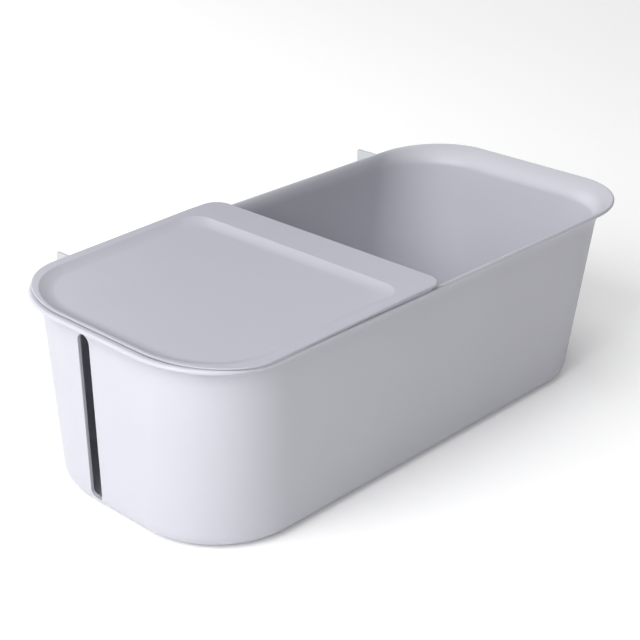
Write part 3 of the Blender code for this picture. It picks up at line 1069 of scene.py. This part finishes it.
# ---- studio ------------------------------------------------------------------------------
@dataclass(frozen=True)
class SoftLight:
    """A large soft lamp that looks at the tray."""

    name: str
    bearing: float                 # degrees from +X towards +Y
    height: float                  # degrees above level
    size: Point2
    power: float
    distance: float = 1.8
    aim: Point3 = (0.0, 0.0, 0.06)

    def build(self) -> None:
        """Hang the lamp and turn it to its aim."""
        lamp = bpy.data.lights.new(self.name, "AREA")
        lamp.shape, lamp.size, lamp.size_y = "RECTANGLE", *self.size
        lamp.energy = self.power
        obj = bpy.data.objects.new(self.name, lamp)
        turn = Euler((0.0, math.radians(-self.height), math.radians(self.bearing)))
        ray = turn.to_matrix() @ Vector((self.distance, 0.0, 0.0))
        obj.location = Vector(self.aim) + ray
        obj.rotation_euler = ray.to_track_quat("Z", "Y").to_euler()
        bpy.context.scene.collection.objects.link(obj)


@dataclass
class Studio:
    """A white floor, soft lamps and the camera."""

    tub_y: float
    camera_place: Point3 = (-0.6493, -0.6029, 0.4784)     # from the tub's centre line
    heading: float = 46.18         # degrees from +Y towards +X
    tilt: float = 24.95            # degrees below level
    lens: float = 83.76            # millimetres
    sensor: float = 36.0           # millimetres across
    floor_size: float = 40.0
    floor_colour: tuple[float, float, float] = (0.95, 0.95, 0.95)
    floor_glow: float = 0.10
    far_glow: float = 0.75         # the floor's glow far from the tray, where no lamp reaches
    glow_span: Point2 = (1.0, 3.2)  # distances between which the glow rises
    sky: float = 0.03
    lamps: tuple[SoftLight, ...] = (
        SoftLight("key_left", 206, 40, (1.6, 1.4), 17.8),
        SoftLight("high_left", 178, 42, (1.3, 1.1), 17.0),
        SoftLight("low_left", 176, 15, (1.3, 1.1), 5.8),
        SoftLight("back", 90, 25, (1.5, 1.1), 13.0),
        SoftLight("back_right", 20, 30, (1.3, 1.1), 5.0),
        SoftLight("top", 135, 86, (1.5, 1.5), 10.0),
    )

    def build(self) -> None:
        """Set up the floor, the sky, the lamps and the camera."""
        scene = bpy.context.scene
        scene.view_settings.view_transform = "Standard"
        self.floor()
        world = bpy.data.worlds.new("studio")
        world.use_nodes = True
        backdrop = world.node_tree.nodes["Background"]
        backdrop.inputs["Color"].default_value = (1.0, 1.0, 1.0, 1.0)
        backdrop.inputs["Strength"].default_value = self.sky
        scene.world = world
        for lamp in self.lamps:
            lamp.build()
        self.camera()

    def floor(self) -> None:
        """Lay the floor, which glows a little so that it stays white."""
        bm = bmesh.new()
        bmesh.ops.create_grid(bm, x_segments=1, y_segments=1, size=self.floor_size / 2)
        floor = draft_object("studio_floor", bm)
        bench = NodeBench("studio_floor")
        place = bench.node("TexCoord").outputs["Object"]
        away = bench.node("VectorMath", {"operation": "LENGTH"}, Vector=place).outputs["Value"]
        glow = bench.node("MapRange", {"interpolation_type": "SMOOTHSTEP"}, Value=away,
                          From_Min=self.glow_span[0], From_Max=self.glow_span[1],
                          To_Min=self.floor_glow, To_Max=self.far_glow).outputs["Result"]
        shader = bench.node("BsdfPrincipled", Base_Color=(*self.floor_colour, 1.0), Roughness=0.9,
                            Specular_IOR_Level=0.0, Emission_Color=(1.0, 1.0, 1.0, 1.0),
                            Emission_Strength=glow)
        floor.data.materials.append(bench.finish(shader))
        floor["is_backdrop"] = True

    def camera(self) -> None:
        """Place the camera."""
        lens = bpy.data.cameras.new("camera")
        lens.lens, lens.sensor_width = self.lens, self.sensor
        lens.clip_start, lens.clip_end = 0.01, 100.0
        camera = bpy.data.objects.new("camera", lens)
        camera.location = Vector(self.camera_place) + Vector((0.0, self.tub_y, 0.0))
        camera.rotation_euler = (math.radians(90 - self.tilt), 0.0, math.radians(-self.heading))
        bpy.context.scene.collection.objects.link(camera)
        bpy.context.scene.camera = camera


# ---- assembly ----------------------------------------------------------------------------
TRAY_PLASTIC = MouldedPlastic("tray_plastic", (0.50, 0.502, 0.552), 0.42, Texture.SATIN)
LID_PLASTIC = replace(TRAY_PLASTIC, name="lid_plastic", colour=(0.42, 0.42, 0.475),
                      roughness=0.44, grain=Texture.FINE)
HOOK_PLASTIC = MouldedPlastic("hook_plastic", (0.47, 0.49, 0.50), 0.34, Texture.CLEAR, mottle=0.03,
                              translucency=0.15, depth=0.0020)
FOOT_RUBBER = Rubber("foot_rubber", (0.10, 0.10, 0.11))


def main() -> None:
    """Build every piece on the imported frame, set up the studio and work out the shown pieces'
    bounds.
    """
    logging.basicConfig(level=logging.INFO, format="%(name)s: %(message)s")
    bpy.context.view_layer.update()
    shop = Workshop()

    tub_low, tub_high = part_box("tub")
    lid_low, lid_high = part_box("lid")
    widest = tub_low.y - lid_low.y
    rim_rear = lid_high.y - widest
    tub = Tub(rim_half_length=tub_high.x, rim_half_width=(rim_rear - tub_low.y) / 2,
              rim_top=tub_high.z, base=tub_low.z, centre_y=(rim_rear + tub_low.y) / 2)
    tub.build(shop, TRAY_PLASTIC)

    HalfLid(tub, near_x=lid_low.x, far_x=lid_high.x, widest=widest, far_top=lid_high.z,
            near_top=tub.rim_top + 0.6 * MM).build(shop, LID_PLASTIC)

    for side in ("left", "right"):
        low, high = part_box(f"hook_{side}")
        x = (low.x + high.x) / 2
        key_high = Vector((high.x, low.y + HangingHook.plate, high.z))
        socket = HookSocket(tub, x, low, key_high, face_y=tub_high.y)
        socket.build(shop, TRAY_PLASTIC, f"hook_socket_{side}")
        HangingHook(f"hook_{side}", rim_rear, socket.high).build(shop, HOOK_PLASTIC)

    for node in sorted(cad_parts):
        if node.startswith("foot_"):
            RubberFoot(node).build(shop, FOOT_RUBBER)

    Studio(tub.centre_y).build()
    LOG.info("%d pieces", len(shop.pieces))
    low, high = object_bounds()


if __name__ == "__main__":
    main()
